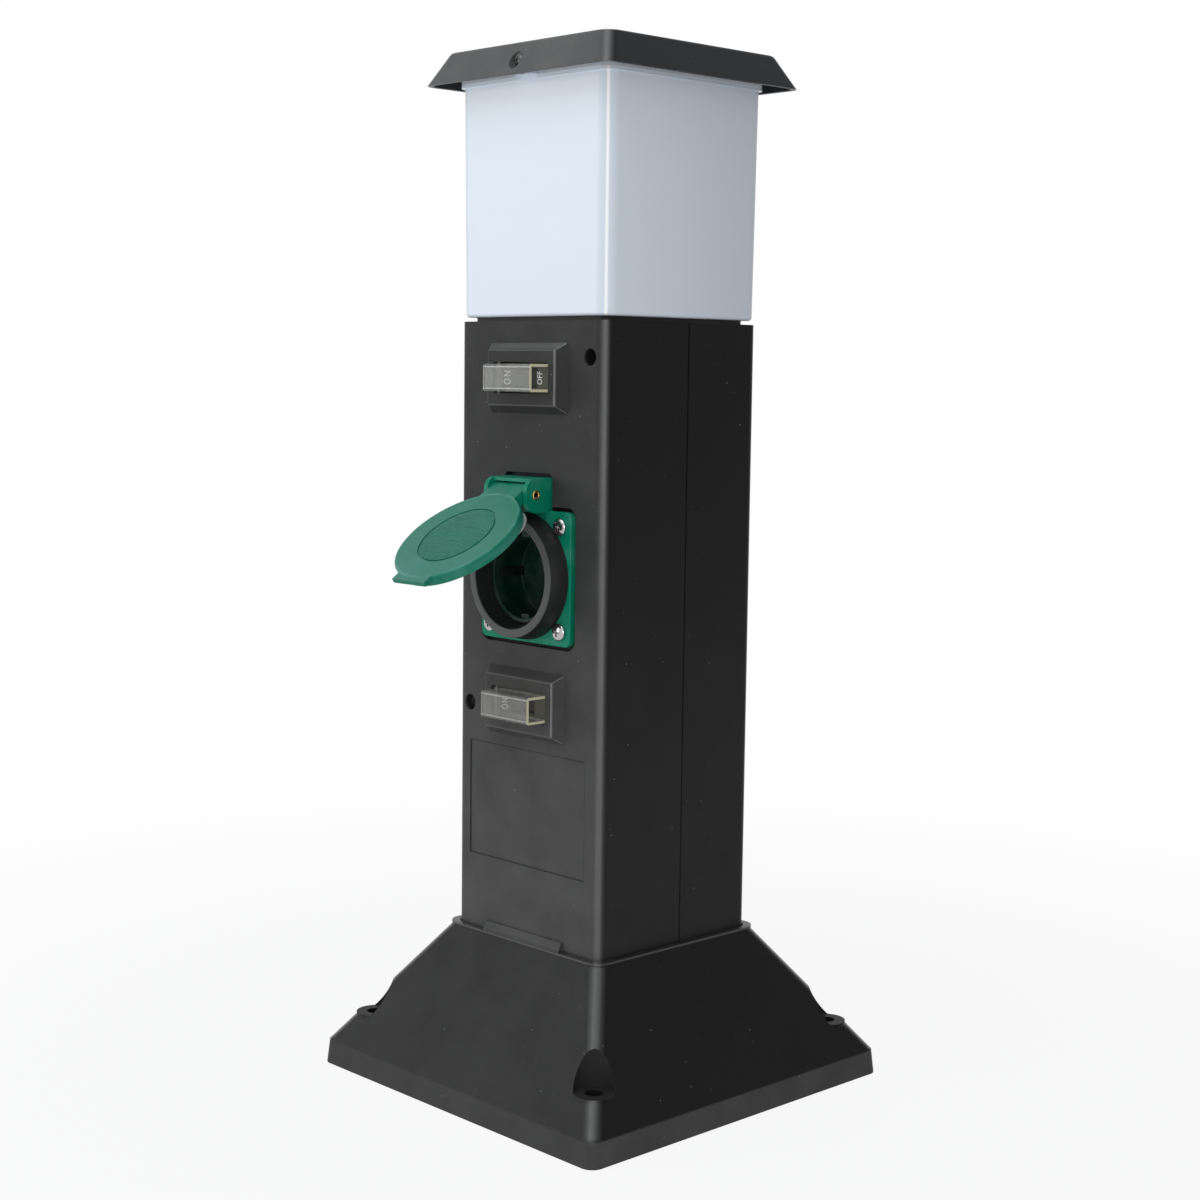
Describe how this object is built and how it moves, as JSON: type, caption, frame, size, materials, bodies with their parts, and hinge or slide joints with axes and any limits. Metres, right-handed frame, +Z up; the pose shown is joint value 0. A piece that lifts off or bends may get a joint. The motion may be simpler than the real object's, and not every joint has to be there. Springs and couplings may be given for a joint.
{
  "type": "garden power bollard",
  "caption": "Square black bollard on a wide hollow plinth: frosted lantern under a roof, lidded round socket and breakers behind clear flip-up hoods.",
  "frame": {"origin": "on the ground, under the axis of the column", "axes": "+Z up, -Y out of the socket's face, +X to the right of someone who looks along +Y"},
  "size_m": [0.1932, 0.2167, 0.4915],
  "materials": {
    "black_plastic": "fine satin texture",
    "roof_plastic": "satin",
    "opal_plastic": "frosted",
    "green_plastic": "gloss",
    "dark_green_plastic": "gloss",
    "grey_plastic": "satin",
    "dark_plastic": "satin",
    "white_plastic": "satin",
    "clear_plastic": "clear, slightly smoked",
    "black_rubber": "matt",
    "pale_rubber": "matt",
    "brass": "satin",
    "steel": "zinc plated",
    "ceramic": "satin",
    "bulb_glass": "frosted",
    "brown_wire": "satin",
    "blue_wire": "satin",
    "green_wire": "satin"
  },
  "bodies": {
    "bollard": {"plinth": "black_plastic", "column_front": "black_plastic", "column_rear": "black_plastic", "column_screws": "steel", "plinth_screws": "steel", "mounting_rail": "steel", "rail_screws": "steel", "supply_terminals": "grey_plastic", "supply_terminal_screws": "steel", "cord_clamp": "grey_plastic", "cord_clamp_screws": "steel", "socket_gasket": "black_rubber", "socket_flange": "green_plastic", "flange_screws": "steel", "socket_collar": "black_rubber", "socket_insert": "dark_green_plastic", "socket_contacts": "brass", "contact_screws": "steel", "earth_strap": "steel", "socket_rear_cover": "dark_plastic", "rear_cover_screw": "steel", "hinge_pin": "brass", "lamp_tray": "dark_plastic", "lamp_gasket": "black_rubber", "lamp_diffuser": "opal_plastic", "lamp_screws": "steel", "lamp_holder": "ceramic", "lamp_holder_screws": "steel", "bulb_cap": "steel", "bulb_globe": "bulb_glass", "roof_cap": "roof_plastic", "roof_gasket": "pale_rubber", "roof_screws": "steel", "wire_supply_line": "brown_wire", "wire_breaker_link": "brown_wire", "wire_socket_line": "brown_wire", "wire_socket_neutral": "blue_wire", "wire_earth": "green_wire", "wire_lamp_line": "brown_wire", "wire_lamp_neutral": "blue_wire", "upper_breaker_body": "grey_plastic", "upper_breaker_plate": "dark_plastic", "upper_breaker_screws": "steel", "upper_lever_pin": "steel", "upper_hood_pin": "steel", "lower_breaker_body": "grey_plastic", "lower_breaker_plate": "dark_plastic", "lower_breaker_screws": "steel", "lower_lever_pin": "steel", "lower_hood_pin": "steel"},
    "lid": {"socket_lid": "green_plastic", "lid_seal": "pale_rubber"},
    "upper_hood": {"upper_hood": "clear_plastic"},
    "lower_hood": {"lower_hood": "clear_plastic"},
    "upper_lever": {"upper_lever": "white_plastic"},
    "lower_lever": {"lower_lever": "white_plastic"}
  },
  "joints": [
    {"name": "lid_hinge", "type": "hinge", "parent": "bollard", "child": "lid", "pos_m": [0, -0.0581, 0.2829], "axis": [-1, 0, 0], "range_deg": [-55.6, 38]},
    {"name": "upper_hood_flip", "type": "hinge", "parent": "bollard", "child": "upper_hood", "pos_m": [-0.0162, -0.054, 0.3355], "axis": [0, 0, -1], "range_deg": [0, 85]},
    {"name": "upper_lever_throw", "type": "hinge", "parent": "bollard", "child": "upper_lever", "pos_m": [0, -0.045, 0.3355], "axis": [0, 0, 1], "range_deg": [0, 70]},
    {"name": "lower_hood_flip", "type": "hinge", "parent": "bollard", "child": "lower_hood", "pos_m": [-0.0162, -0.054, 0.185], "axis": [0, 0, -1], "range_deg": [0, 85]},
    {"name": "lower_lever_throw", "type": "hinge", "parent": "bollard", "child": "lower_lever", "pos_m": [0, -0.045, 0.185], "axis": [0, 0, 1], "range_deg": [0, 70]}
  ]
}
